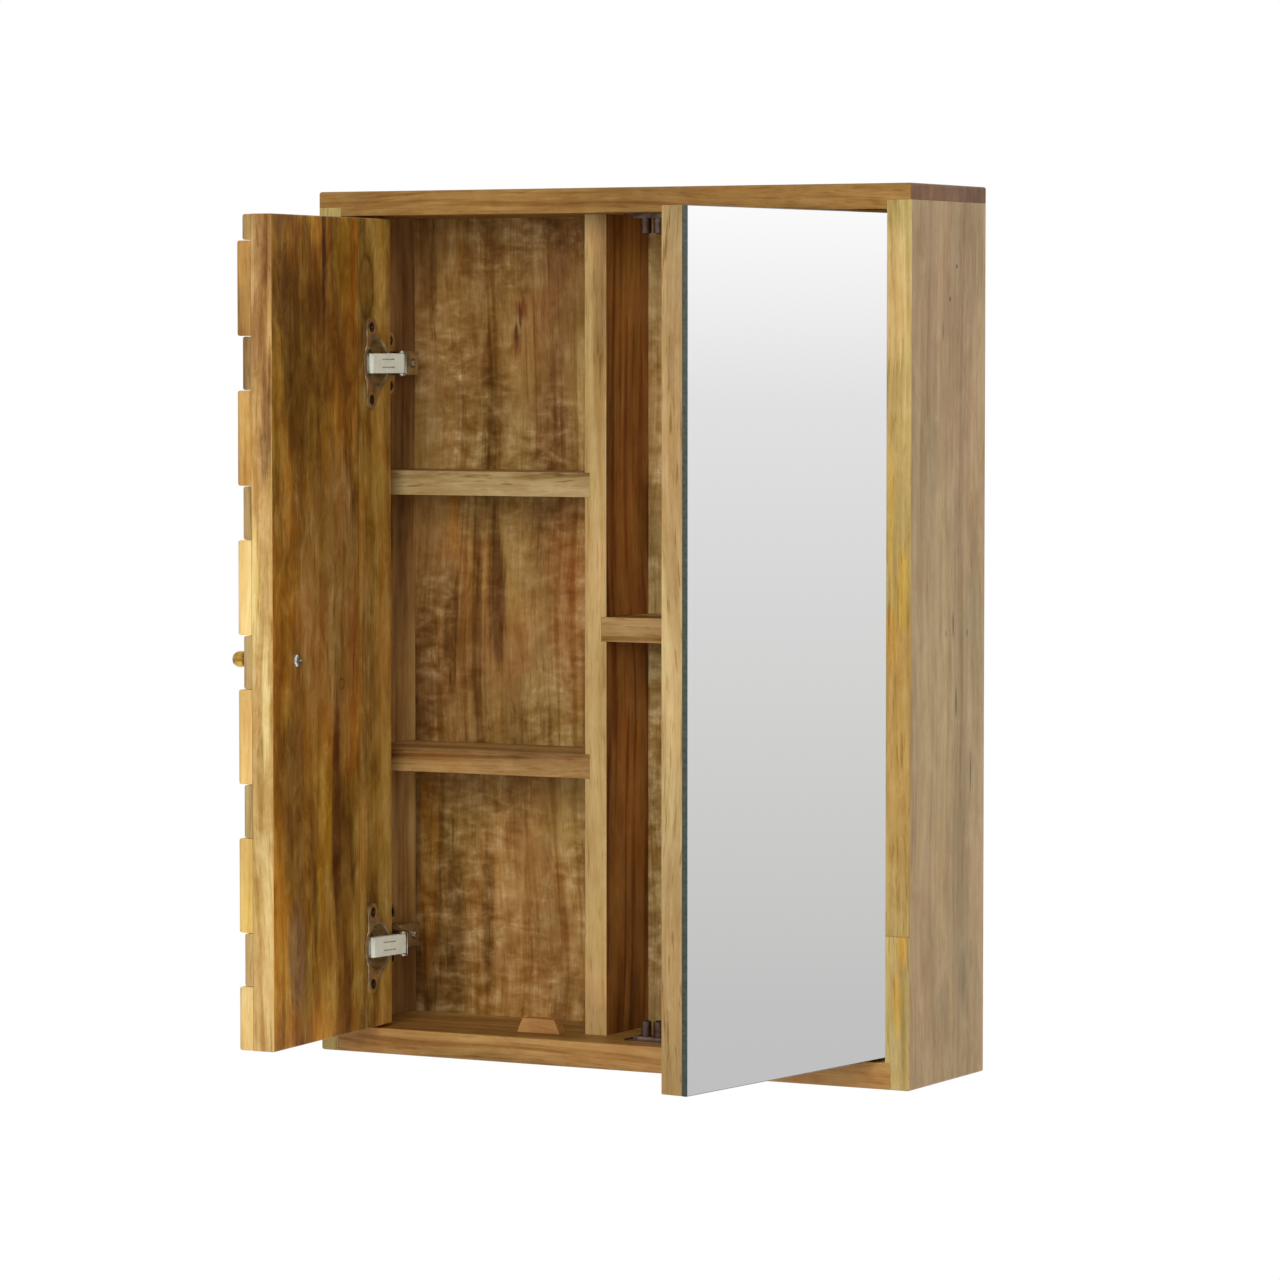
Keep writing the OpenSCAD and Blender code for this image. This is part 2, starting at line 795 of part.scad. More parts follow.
module knob_screw() {
    color("silver")
        on_carved_door()
            translate([hinge_gap + carved_w - knob_in, carved_t, knob_z])
                facing_back() {
                    difference() {
                        cylinder(r1 = 4.8, r2 = 3.6, h = 2.4);
                        for (turn = [0, 90])
                            rotate([0, 0, turn]) translate([-2.2, -0.4, 1.4]) cube([4.4, 0.8, 1.2]);
                    }
                    translate([0, 0, -board_t - low_t - 7])
                        cylinder(r = knob_screw_r, h = board_t + low_t + 7 + eps);
                }
}

module carved_hinge_cups() {
    color("silver") on_carved_door() at_hinges() hinge_cup(carved_t);
}

module carved_cup_screws() {
    color("dimgray") on_carved_door() at_hinges() cup_screws(carved_t);
}

module carved_cup_pins() {
    color("gray") on_carved_door() at_hinges() cup_pins(carved_t);
}

// Mirror door

// Plan outline of a slab with its front corner beside the hinges rounded
function slab_outline(w, front, back, r) = concat(
    [[w, front], [w, back], [0, back]],
    [for (i = [0:4]) [r - r * cos(i * 22.5), front + r - r * sin(i * 22.5)]]
);

module mirror_door_board() {
    color("sandybrown")
        on_mirror_door()
            difference() {
                translate([hinge_gap, glass_t, door_z]) cube([mirror_w, board_t, door_h]);
                cup_bores(mirror_t);
                strike_holes();
            }
}

module mirror_glass() {
    color("lightcyan")
        on_mirror_door()
            translate([hinge_gap, 0, door_z])
                linear_extrude(door_h) polygon(slab_outline(mirror_w, 0, glass_t, glass_round));
}

module mirror_hinge_cups() {
    color("silver") on_mirror_door() at_hinges() hinge_cup(mirror_t);
}

module mirror_cup_screws() {
    color("dimgray") on_mirror_door() at_hinges() cup_screws(mirror_t);
}

module mirror_cup_pins() {
    color("gray") on_mirror_door() at_hinges() cup_pins(mirror_t);
}

// Middle height of the rollers and of the strike that enters between them
function roller_z(level) = level == 1
    ? inner_top - catch_plate_t - jaw_play - jaw_h - jaw_play - roller_h / 2
    : bottom_t + catch_plate_t + jaw_play + jaw_h + jaw_play + roller_h / 2;

// Distance of the strikes from the right side panel's inner face when the door is closed
function strike_u() = -left_in_x - catch_x;

module strike_holes() {
    for (level = [0, 1], side = [-1, 1])
        translate([strike_u() + side * 7, mirror_t + strike_plate_t, roller_z(level)])
            facing_back() screw_hole(10);
}

module catch_strikes() {
    blade_l = catch_back + 1.5 - mirror_t;
    color("rosybrown")
        on_mirror_door()
            for (level = [0, 1])
                translate([strike_u(), mirror_t, roller_z(level)])
                    difference() {
                        union() {
                            translate([-strike_w / 2, 0, -strike_h / 2])
                                cube([strike_w, strike_plate_t, strike_h]);
                            translate([-strike_t / 2, 0, -3.5]) cube([strike_t, blade_l, 7]);
                            translate([0, blade_l, -3.5]) cylinder(r = strike_t / 2, h = 7);
                        }
                        for (side = [-1, 1])
                            translate([side * 7, strike_plate_t, 0]) facing_back() screw_hole(10);
                    }
}

module strike_screws() {
    color("dimgray")
        on_mirror_door()
            for (level = [0, 1], side = [-1, 1])
                translate([strike_u() + side * 7, mirror_t + strike_plate_t, roller_z(level)])
                    facing_back() wood_screw(10);
}

// Double roller catches. Each is drawn below the top panel, and mirrored for the bottom one

module at_catch(level) {
    translate([catch_x, catch_y, level == 1 ? inner_top : bottom_t])
        mirror([0, 0, 1 - level]) children();
}

module catch_housing() {
    difference() {
        union() {
            translate([-catch_half, -catch_d / 2, -catch_plate_t])
                cube([2 * catch_half, catch_d, catch_plate_t]);
            for (side = [-1, 1]) {
                translate([-catch_box_half, side * (catch_d - catch_wall) / 2 - catch_wall / 2, -catch_wall_h])
                    cube([2 * catch_box_half, catch_wall, catch_wall_h]);
                translate([side * (catch_box_half - catch_wall / 2) - catch_wall / 2, -catch_d / 2, -catch_wall_h])
                    cube([catch_wall, catch_d, catch_wall_h]);
            }
        }
        for (side = [-1, 1])
            translate([side * catch_screw_x, 0, -catch_plate_t]) mirror([0, 0, 1]) screw_hole(12);
    }
}

module upper_catch_housing() {
    color("rosybrown") at_catch(1) catch_housing();
}

module lower_catch_housing() {
    color("rosybrown") at_catch(0) catch_housing();
}

module catch_screws() {
    color("dimgray")
        for (level = [0, 1])
            at_catch(level)
                for (side = [-1, 1])
                    translate([side * catch_screw_x, 0, -catch_plate_t]) mirror([0, 0, 1]) wood_screw(12);
}

module catch_screw_holes(z, up) {
    translate([catch_x, catch_y, z])
        mirror([0, 0, up == 1 ? 0 : 1])
            for (side = [-1, 1])
                translate([side * catch_screw_x, 0, -catch_plate_t]) mirror([0, 0, 1]) screw_hole(12);
}

// The sprung jaw that slides in the housing and carries a roller's pin
module jaw(side) {
    jaw_d = catch_d - 2 * catch_wall - 2 * jaw_play;
    translate([side * roller_spacing / 2, 0, 0]) {
        translate([-jaw_w / 2, -jaw_d / 2, -catch_plate_t - jaw_play - jaw_h]) cube([jaw_w, jaw_d, jaw_h]);
        translate([0, 0, -catch_plate_t - 3 * jaw_play - jaw_h - roller_h - pin_head_h]) {
            cylinder(r = roller_pin_r, h = roller_h + pin_head_h + 3 * jaw_play);
            cylinder(r = pin_head_r, h = pin_head_h);
        }
    }
}

module roller(side) {
    translate([side * roller_spacing / 2, 0, -catch_plate_t - 2 * jaw_play - jaw_h - roller_h])
        difference() {
            cylinder(d = roller_d, h = roller_h);
            translate([0, 0, -eps]) cylinder(r = roller_pin_r + pin_clearance, h = roller_h + 2 * eps);
        }
}

module upper_left_jaw() {
    color("gray") at_catch(1) jaw(-1);
}

module upper_right_jaw() {
    color("gray") at_catch(1) jaw(1);
}

module lower_left_jaw() {
    color("gray") at_catch(0) jaw(-1);
}

module lower_right_jaw() {
    color("gray") at_catch(0) jaw(1);
}

module upper_left_roller() {
    color("saddlebrown") at_catch(1) roller(-1);
}

module upper_right_roller() {
    color("saddlebrown") at_catch(1) roller(1);
}

module lower_left_roller() {
    color("saddlebrown") at_catch(0) roller(-1);
}

module lower_right_roller() {
    color("saddlebrown") at_catch(0) roller(1);
}

left_side_panel();
right_side_panel();
top_panel();
bottom_panel();
back_panel();
center_divider();
upper_left_shelf();
lower_left_shelf();
right_shelf();
door_stop();
hanging_plates();
hanging_screws();
carved_hinge_plates();
carved_plate_screws();
carved_hinge_arms();
carved_arm_screws();
carved_arm_rivets();
mirror_hinge_plates();
mirror_plate_screws();
mirror_hinge_arms();
mirror_arm_screws();
mirror_arm_rivets();
upper_catch_housing();
lower_catch_housing();
catch_screws();
carved_door_board();
raised_blocks();
low_blocks();
door_knob();
knob_screw();
carved_hinge_cups();
carved_cup_screws();
carved_cup_pins();
mirror_door_board();
mirror_glass();
mirror_hinge_cups();
mirror_cup_screws();
mirror_cup_pins();
catch_strikes();
strike_screws();
carved_outer_levers();
carved_inner_levers();
mirror_outer_levers();
mirror_inner_levers();
upper_left_jaw();
upper_right_jaw();
lower_left_jaw();
lower_right_jaw();
upper_left_roller();
upper_right_roller();
lower_left_roller();
lower_right_roller();
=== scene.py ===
import math
import random

import bmesh
import bpy
from mathutils import Matrix, Vector


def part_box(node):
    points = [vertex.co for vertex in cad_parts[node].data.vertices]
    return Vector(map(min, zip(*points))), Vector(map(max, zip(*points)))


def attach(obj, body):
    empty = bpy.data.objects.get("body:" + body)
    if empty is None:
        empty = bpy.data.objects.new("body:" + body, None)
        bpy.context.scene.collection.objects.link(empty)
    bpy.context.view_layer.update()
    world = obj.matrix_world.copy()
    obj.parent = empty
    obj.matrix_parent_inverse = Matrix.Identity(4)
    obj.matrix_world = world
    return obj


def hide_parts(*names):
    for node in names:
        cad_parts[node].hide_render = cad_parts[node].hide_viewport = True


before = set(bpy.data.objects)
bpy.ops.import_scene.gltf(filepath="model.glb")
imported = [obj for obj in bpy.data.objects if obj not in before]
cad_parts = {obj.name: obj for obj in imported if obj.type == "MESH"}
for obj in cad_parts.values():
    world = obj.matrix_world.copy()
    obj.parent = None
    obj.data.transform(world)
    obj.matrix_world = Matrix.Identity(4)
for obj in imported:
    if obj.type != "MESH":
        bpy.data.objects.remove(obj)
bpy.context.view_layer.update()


# Side panels: solid mango wood with the grain upright, oiled to a satin finish.
# Grooves and housings inside hold the back and the shelves, and the outer edges
# are rounded over after the cabinet is glued.

panel_low, panel_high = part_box("left_side_panel")
top_low, top_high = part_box("top_panel")
outer_planes = [
    (0, top_low.x), (0, top_high.x), (1, top_low.y), (2, panel_low.z), (2, top_high.z),
]
OUTER_ROUND = 0.0018
JOINT_EASE = 0.00035
SHORTEST_EASED = 0.006
ON_PLANE = 0.0002


def linear(hexadecimal):
    """A colour written as on a screen, as the shader's own values."""
    made = []
    for start in (0, 2, 4):
        share = int(hexadecimal[start:start + 2], 16) / 255
        made.append(share / 12.92 if share <= 0.04045 else ((share + 0.055) / 1.055) ** 2.4)
    return (*made, 1.0)


def merged(node):
    """A bmesh of a CAD node with its loose triangles joined at their corners."""
    shape = bmesh.new()
    shape.from_mesh(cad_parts[node].data)
    bmesh.ops.remove_doubles(shape, verts=shape.verts, dist=0.00001)
    bmesh.ops.recalc_face_normals(shape, faces=shape.faces)
    return shape


def cleaned(node):
    """The same with its flat faces made whole and a layer that marks where a highlight is
    painted on rounded edges.
    """
    shape = merged(node)
    bmesh.ops.dissolve_limit(
        shape, angle_limit=math.radians(0.5), verts=shape.verts, edges=shape.edges)
    shape.loops.layers.float_color.new("painted_edge_highlight")
    return shape


def ease_edges(shape, edges, width, segments=3):
    """Rounds edges over and marks the new faces for a painted highlight."""
    made = bmesh.ops.bevel(
        shape, geom=edges, offset=width, offset_type="OFFSET", segments=segments,
        profile=0.5, affect="EDGES", clamp_overlap=False, material=-1)
    edge_highlight = shape.loops.layers.float_color["painted_edge_highlight"]
    for face in made["faces"]:
        for loop in face.loops:
            loop[edge_highlight] = (1, 1, 1, 1)


def sharp_edges(shape, shortest=SHORTEST_EASED):
    """The straight outward corners of a board that are worth rounding."""
    return [
        edge for edge in shape.edges
        if len(edge.link_faces) == 2 and edge.is_convex
        and edge.calc_length() > shortest
        and edge.calc_face_angle(0) > math.radians(50)
    ]


def is_outer(edge):
    """Whether an edge lies on two of the cabinet's outer planes."""
    middle = (edge.verts[0].co + edge.verts[1].co) / 2
    return sum(abs(middle[axis] - value) < ON_PLANE for axis, value in outer_planes) >= 2


def finished(name, shape, material, body, nodes, smooth=0):
    """Turns a bmesh into a piece that rides a body and stands for CAD nodes."""
    mesh = bpy.data.meshes.new(name)
    shape.to_mesh(mesh)
    shape.free()
    piece = bpy.data.objects.new(name, mesh)
    bpy.context.scene.collection.objects.link(piece)
    for entry in material if isinstance(material, list) else [material]:
        mesh.materials.append(entry)
    if smooth:
        mesh.shade_smooth()
        mesh.set_sharp_from_angle(angle=math.radians(smooth))
    else:
        mesh.shade_flat()
    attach(piece, body)
    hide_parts(*nodes)
    return piece


def carcass_board(node, material, edge_wood=None, edge_facing=(0, -1, 0)):
    """A board of the cabinet, rounded on the outside and barely eased at its joints. The
    faces on one side can show the wood's edge, which has a colour and grain of its own."""
    shape = cleaned(node)
    outer = [edge for edge in sharp_edges(shape) if is_outer(edge)]
    if outer:
        ease_edges(shape, outer, OUTER_ROUND)
    ease_edges(shape, sharp_edges(shape), JOINT_EASE, 2)
    woods = show_edge(shape, material, edge_wood, edge_facing)
    return finished(node + "_wood", shape, woods, "cabinet", [node])


SAME_WAY = 0.65


def show_edge(shape, material, edge_wood, edge_facing):
    """Gives the faces on one side the edge's wood, and returns the list of materials."""
    if edge_wood is None:
        return [material]
    shape.normal_update()
    for face in shape.faces:
        faces_the_side = face.normal.dot(Vector(edge_facing)) > SAME_WAY
        face.material_index = 1 if faces_the_side else 0
    return [material, edge_wood]


def add_node(tree, kind, values=None, **settings):
    """A shader node. A value that is another node's output is linked."""
    made = tree.nodes.new(kind)
    for name, value in settings.items():
        setattr(made, name, value)
    for name, value in (values or {}).items():
        if isinstance(value, bpy.types.NodeSocket):
            tree.links.new(value, made.inputs[name])
        else:
            made.inputs[name].default_value = value
    return made


def empty_material(name):
    """A new material and its node tree, with no nodes in it yet."""
    material = bpy.data.materials.new(name)
    material.use_nodes = True
    material.node_tree.nodes.clear()
    return material, material.node_tree


def maths(tree, operation, first, second=0.0):
    """The output of a Math node."""
    return add_node(
        tree, "ShaderNodeMath", {0: first, 1: second}, operation=operation).outputs[0]


def mixed(tree, share, first, second, blend="MIX"):
    """The output of a node that mixes two colours."""
    return add_node(
        tree, "ShaderNodeMix", {0: share, 6: first, 7: second},
        data_type="RGBA", blend_type=blend).outputs[2]


def stretched_noise(tree, vector, across, along, detail=3.0, rough=0.55, bend=0.0):
    """Noise drawn out along the grain, which runs along the vector's Z."""
    scaled = add_node(
        tree, "ShaderNodeMapping", {"Vector": vector, "Scale": (across, across, along)})
    return add_node(
        tree, "ShaderNodeTexNoise",
        {"Vector": scaled.outputs[0], "Scale": 1.0, "Detail": detail,
         "Roughness": rough, "Distortion": bend}).outputs[0]


def ranged(tree, value, low, high, to_low=0.0, to_high=1.0):
    """A value brought smoothly from one range to another."""
    return add_node(
        tree, "ShaderNodeMapRange",
        {0: value, 1: low, 2: high, 3: to_low, 4: to_high},
        interpolation_type="SMOOTHSTEP").outputs[0]


def ramp(tree, value, stops):
    """A colour ramp from (place, colour) stops."""
    made = add_node(tree, "ShaderNodeValToRGB", {0: value})
    band = made.color_ramp
    while len(band.elements) < len(stops):
        band.elements.new(0.5)
    for element, (place, colour) in zip(band.elements, stops):
        element.position = place
        element.color = linear(colour)
    return made.outputs[0]


def vector_maths(tree, operation, first, second):
    """The output of a Vector Math node."""
    return add_node(
        tree, "ShaderNodeVectorMath", {0: first, 1: second}, operation=operation).outputs[0]


def reach_from(tree, place, centre, radii):
    """How far a point lies from a centre, where 1 is the surface of an ellipsoid."""
    offset = vector_maths(
        tree, "DIVIDE", vector_maths(tree, "SUBTRACT", place, centre), radii)
    return add_node(
        tree, "ShaderNodeVectorMath", {0: offset}, operation="LENGTH").outputs["Value"]


def weighted(tree, total, value, middle, weight):
    """Adds a value's distance from its middle, times a weight, to a total."""
    return maths(tree, "ADD", total, maths(
        tree, "MULTIPLY", maths(tree, "SUBTRACT", value, middle), weight))


def wood(name, tones, grain="Z", shift=(0, 0, 0), clouds=0.5, ripple=0.0, streak=0.5,
         flecks=0.3, mottle=0.4, hues=0.4, by_block=False, seam=None, far_tones=None, spots=(),
         knots=()):
    """Mango wood. Tones run from its dark heart lines to its pale sapwood. Clouds, ripple,
    streak, flecks, mottle and hues say how strong each part of its figure is. Past a seam, the
    (axis, place) where two boards are glued together, the grain starts anew, in the far tones
    if there are any. Spots are (centre, radii, colour, strength) of stains, bands and flecks,
    golden or dark, and knots are (centre, radii, colour) of the dark ring round a knot. By
    block, the grain starts anew and the tone differs in each block of the carving."""
    material, tree = empty_material(name)
    place = add_node(tree, "ShaderNodeTexCoord").outputs["Object"]
    turn = (0, math.radians(90), 0) if grain == "X" else (0, 0, 0)
    moved = add_node(
        tree, "ShaderNodeMapping",
        {"Vector": place, "Location": shift, "Rotation": turn}).outputs[0]
    if by_block:
        block = add_node(
            tree, "ShaderNodeAttribute", attribute_name="block_tone",
            attribute_type="GEOMETRY").outputs["Vector"]
        moved = vector_maths(tree, "ADD", moved, vector_maths(
            tree, "MULTIPLY", block, (2.3, 2.3, 2.3)))
        tone_shift = add_node(tree, "ShaderNodeSeparateXYZ", {0: block}).outputs[0]
    if seam:
        across = add_node(tree, "ShaderNodeSeparateXYZ", {0: place}).outputs[seam[0]]
        past = maths(tree, "GREATER_THAN", across, seam[1])
        moved = vector_maths(tree, "ADD", moved, add_node(
            tree, "ShaderNodeVectorMath", {0: (1.7, 0.9, 2.3), "Scale": past},
            operation="SCALE").outputs[0])
        glue = maths(tree, "ABSOLUTE", maths(tree, "SUBTRACT", across, seam[1]))
        glue = ranged(tree, glue, 0.0002, 0.0007, 1.0, 0.0)
    swell = add_node(
        tree, "ShaderNodeTexNoise", {"Vector": moved, "Scale": 3.5, "Detail": 1.0}).outputs[1]
    swell = vector_maths(tree, "SUBTRACT", swell, (0.5, 0.5, 0.5))
    lines = vector_maths(tree, "ADD", moved, vector_maths(
        tree, "MULTIPLY", swell, (0.03, 0.03, 0.0)))

    # The wood's own tones: long bands and clouds, with stains and knots laid over them.
    bands = stretched_noise(tree, lines, 26.0, 2.6, 3.0, 0.55)
    cloud = stretched_noise(tree, moved, 15.0, 9.0, 4.0, 0.62, 0.3)
    tone = weighted(tree, bands, cloud, 0.5, 0.9 * clouds)
    places = (0.30, 0.43, 0.55, 0.70)
    base = ramp(tree, tone, list(zip(places, tones)))
    if far_tones:
        base = mixed(tree, past, base, ramp(tree, tone, list(zip(places, far_tones))))
    fibre = stretched_noise(tree, lines, 620.0, 15.0, 3.0, 0.6)
    for centre, radii, colour, strength in spots:
        reach = reach_from(tree, place, centre, radii)
        ragged = weighted(tree, weighted(tree, reach, bands, 0.5, 1.8), fibre, 0.5, 1.2)
        base = mixed(
            tree, ranged(tree, ragged, 1.0, 0.5, 0.0, strength), base, linear(colour))
    for centre, radii, colour in knots:
        reach = reach_from(tree, place, centre, radii)
        reach = weighted(tree, weighted(tree, reach, cloud, 0.5, 1.6), bands, 0.5, 1.2)
        rim = maths(tree, "ABSOLUTE", maths(tree, "SUBTRACT", reach, 1.0))
        base = mixed(tree, ranged(tree, rim, 0.0, 0.34, 0.55, 0.0), base, linear(colour))
    hue = ranged(tree, stretched_noise(tree, moved, 9.0, 5.0, 3.0, 0.6, 0.5), 0.40, 0.62)
    tint = mixed(tree, hue, (0.95, 1.02, 0.93, 1.0), (1.08, 0.96, 0.88, 1.0))
    base = mixed(tree, hues, base, tint, "MULTIPLY")

    # What makes them darker or paler: growth rings, fibre, heart lines, short dashes,
    # pores, blotches and the ripple across the grain.
    contour = stretched_noise(tree, lines, 13.0, 0.8, 1.0, 0.4)
    ring = maths(tree, "SINE", maths(tree, "MULTIPLY", contour, 110.0))
    heart = stretched_noise(tree, lines, 150.0, 3.6, 2.0, 0.55, 0.1)
    dashes = stretched_noise(tree, lines, 430.0, 34.0, 2.0, 0.5)
    pores = ranged(tree, stretched_noise(tree, lines, 1150.0, 62.0, 1.0, 0.5), 0.60, 0.74)
    depth = weighted(tree, 1.0, ring, 0.0, 0.035)
    depth = weighted(tree, depth, cloud, 0.5, 0.5 * clouds)
    depth = weighted(tree, depth, fibre, 0.5, 0.42)
    depth = weighted(tree, depth, ranged(tree, heart, 0.50, 0.70), 0.15, 0.42 * streak)
    depth = weighted(tree, depth, ranged(tree, dashes, 0.58, 0.72), 0.1, 0.5 * flecks)
    depth = weighted(tree, depth, pores, 0.1, 0.16)
    blotch = stretched_noise(tree, moved, 70.0, 34.0, 5.0, 0.68, 0.6)
    depth = weighted(tree, depth, blotch, 0.5, 1.3 * mottle)
    if ripple:
        wave = stretched_noise(tree, moved, 58.0, 120.0, 3.0, 0.6, 0.3)
        patches = ranged(tree, stretched_noise(tree, moved, 13.0, 8.0), 0.38, 0.62)
        depth = weighted(tree, depth, maths(
            tree, "MULTIPLY", maths(tree, "SUBTRACT", wave, 0.5), patches), 0.0, 1.5 * ripple)
    if by_block:
        depth = weighted(tree, depth, tone_shift, 0.5, 0.32)
    if seam:
        depth = weighted(tree, depth, glue, 0.0, 0.25)
    toned = add_node(tree, "ShaderNodeGamma", {0: base, 1: depth}).outputs[0]

    # Rounded edges get a painted highlight, a little paler than the faces, and pores and fibre
    # stand in relief under the oil.
    edge_highlight = add_node(
        tree, "ShaderNodeAttribute", attribute_name="painted_edge_highlight",
        attribute_type="GEOMETRY").outputs["Fac"]
    highlighted = mixed(tree, 1.0, toned, (1.18, 1.14, 1.06, 1.0), "MULTIPLY")
    colour = mixed(tree, edge_highlight, toned, highlighted)
    height = maths(tree, "SUBTRACT", maths(tree, "MULTIPLY", fibre, 0.5), pores)
    bump = add_node(
        tree, "ShaderNodeBump", {"Height": height, "Strength": 0.22, "Distance": 0.0004})
    sheen = ranged(tree, cloud, 0.3, 0.7, 0.56, 0.43)
    shader = add_node(
        tree, "ShaderNodeBsdfPrincipled",
        {"Base Color": colour, "Roughness": sheen, "Normal": bump.outputs[0],
         "Specular IOR Level": 0.35})
    add_node(tree, "ShaderNodeOutputMaterial", {"Surface": shader.outputs[0]})
    return material


SIDE_FLECKS = [
    ((0.2285, -0.050, 0.308), (0.02, 0.0012, 0.011), "302822", 0.8),
    ((0.2285, -0.045, 0.254), (0.02, 0.0016, 0.012), "3d332c", 0.7),
    ((0.2285, -0.022, 0.205), (0.02, 0.0012, 0.018), "2f2924", 0.7),
    ((0.2285, -0.061, 0.301), (0.02, 0.0012, 0.004), "433830", 0.8),
    ((0.2285, -0.028, 0.300), (0.02, 0.0012, 0.004), "433830", 0.8),
    ((0.2285, -0.046, 0.546), (0.02, 0.0012, 0.0016), "3a2a22", 0.9),
    ((0.2285, -0.056, 0.524), (0.02, 0.0012, 0.0016), "3a2a22", 0.9),
    ((0.2285, -0.067, 0.503), (0.02, 0.0020, 0.007), "6b5646", 0.5),
    ((0.2285, -0.060, 0.052), (0.02, 0.010, 0.030), "7a6a5a", 0.35),
    ((0.2285, -0.034, 0.066), (0.02, 0.006, 0.020), "7a6a5a", 0.35),
    ((0.2285, -0.020, 0.082), (0.02, 0.003, 0.014), "6a5a4a", 0.4),
]
EDGE_STAINS = [
    ((0.2150, -0.116, 0.300), (0.006, 0.02, 0.024), "ab7c2e", 0.8),
    ((0.2235, -0.116, 0.330), (0.004, 0.02, 0.030), "b5902e", 0.8),
    ((0.2130, -0.116, 0.385), (0.004, 0.02, 0.050), "ae8e44", 0.6),
    ((0.2225, -0.116, 0.092), (0.004, 0.02, 0.014), "b58a30", 0.8),
    ((0.2200, -0.116, 0.040), (0.012, 0.02, 0.060), "927d53", 0.6),
    ((0.2190, -0.116, 0.056), (0.005, 0.02, 0.030), "b38a34", 0.6),
    ((0.2230, -0.116, 0.190), (0.004, 0.02, 0.010), "8a6a34", 0.6),
    ((0.2200, -0.116, 0.520), (0.004, 0.02, 0.030), "9a7a3a", 0.5),
    ((0.2200, -0.116, 0.250), (0.012, 0.02, 0.120), "98783a", 0.65),
    ((0.2180, -0.116, 0.530), (0.012, 0.02, 0.060), "c8b07a", 0.5),
]
left_side_wood = wood(
    "left_side_wood", ("583b23", "84633d", "ae8957", "d5b478"), shift=(0.7, 0.2, 0.4),
    clouds=0.45, streak=0.8)
right_side_wood = wood(
    "right_side_wood", ("8a7355", "978061", "a48b68", "ad9572"), shift=(0.1, 0.9, 0.3),
    clouds=0.35, streak=0.35, flecks=0.2, spots=SIDE_FLECKS)
side_edge_wood = wood(
    "side_edge_wood", ("826939", "957f4b", "a38f59", "ad9e68"), shift=(2.1, 0.3, 0.8),
    clouds=0.6, streak=0.4, flecks=0.5, seam=(2, 0.1025), spots=EDGE_STAINS)
carcass_board("left_side_panel", left_side_wood, side_edge_wood)
# The photograph's mirror shows a clean fade, so this panel is left out of reflections,
# and so is what is fixed to it, further down.
right_panel = carcass_board(
    "right_side_panel", right_side_wood, side_edge_wood)
right_panel.visible_glossy = False


# Top and bottom panels: solid mango wood with the grain along their length. The top
# is rabbeted over the ends of the sides, and the bottom is let in between them.

top_wood = wood(
    "top_wood", ("533514", "715023", "835f2d", "946f39"), grain="X", shift=(0.3, 1.4, 0.2),
    streak=0.8)
top_end_wood = wood(
    "top_end_wood", ("472c1a", "593c24", "68462d", "755234"), shift=(0.8, 0.4, 1.2),
    clouds=0.6, streak=0.2, flecks=0.5)
bottom_wood = wood(
    "bottom_wood", ("63421e", "876433", "99733f", "a98851"), grain="X", shift=(1.1, 0.5, 2.2),
    streak=0.8, spots=[((0.170, -0.116, 0.008), (0.07, 0.04, 0.03), "8f683a", 0.6)])
carcass_board("top_panel", top_wood, top_end_wood, (1, 0, 0))
carcass_board("bottom_panel", bottom_wood)


# Back panel: two boards of figured mango wood, glued edge to edge behind the divider and
# slid into a groove all round. It has a small split knot above the upper left shelf.

BACK_SPOTS = [
    ((-0.124, -0.016, 0.519), (0.007, 0.02, 0.013), "7c4428", 0.8),
    ((-0.127, -0.016, 0.496), (0.007, 0.02, 0.015), "7e4a2c", 0.8),
    ((-0.1240, -0.016, 0.514), (0.0028, 0.02, 0.014), "3c1c12", 0.9),
    ((-0.1272, -0.016, 0.502), (0.0028, 0.02, 0.014), "3c1c12", 0.9),
    ((-0.1785, -0.016, 0.372), (0.006, 0.02, 0.040), "a0702e", 0.8),
    ((-0.143, -0.016, 0.315), (0.010, 0.02, 0.075), "4f3014", 0.8),
    ((-0.180, -0.016, 0.300), (0.010, 0.02, 0.060), "503513", 0.7),
    ((-0.160, -0.016, 0.300), (0.006, 0.02, 0.110), "57391a", 0.6),
    ((-0.195, -0.016, 0.540), (0.006, 0.02, 0.060), "55390f", 0.6),
    ((-0.150, -0.016, 0.450), (0.008, 0.02, 0.080), "55390f", 0.6),
    ((-0.199, -0.016, 0.120), (0.008, 0.02, 0.080), "8a5c22", 0.7),
    ((-0.150, -0.016, 0.090), (0.008, 0.02, 0.070), "543817", 0.6),
    ((-0.100, -0.016, 0.480), (0.030, 0.02, 0.090), "94653f", 0.5),
    ((-0.080, -0.016, 0.300), (0.030, 0.02, 0.100), "94653f", 0.5),
    ((-0.150, -0.016, 0.530), (0.110, 0.02, 0.120), "644520", 0.3),
]
back_wood = wood(
    "back_wood", ("5f4423", "7e5f35", "927142", "a48450"), shift=(0.05, 0.0, 0.35),
    clouds=0.7, ripple=1.1, streak=0.7, mottle=0.8, hues=0.8, seam=(0, -0.030),
    far_tones=("745834", "896d43", "987c4f", "a48a5c"), spots=BACK_SPOTS)
carcass_board("back_panel", back_wood)


# Divider and shelves: planed mango boards, set back from the front. The shelf ends sit
# in shallow housings, glued.

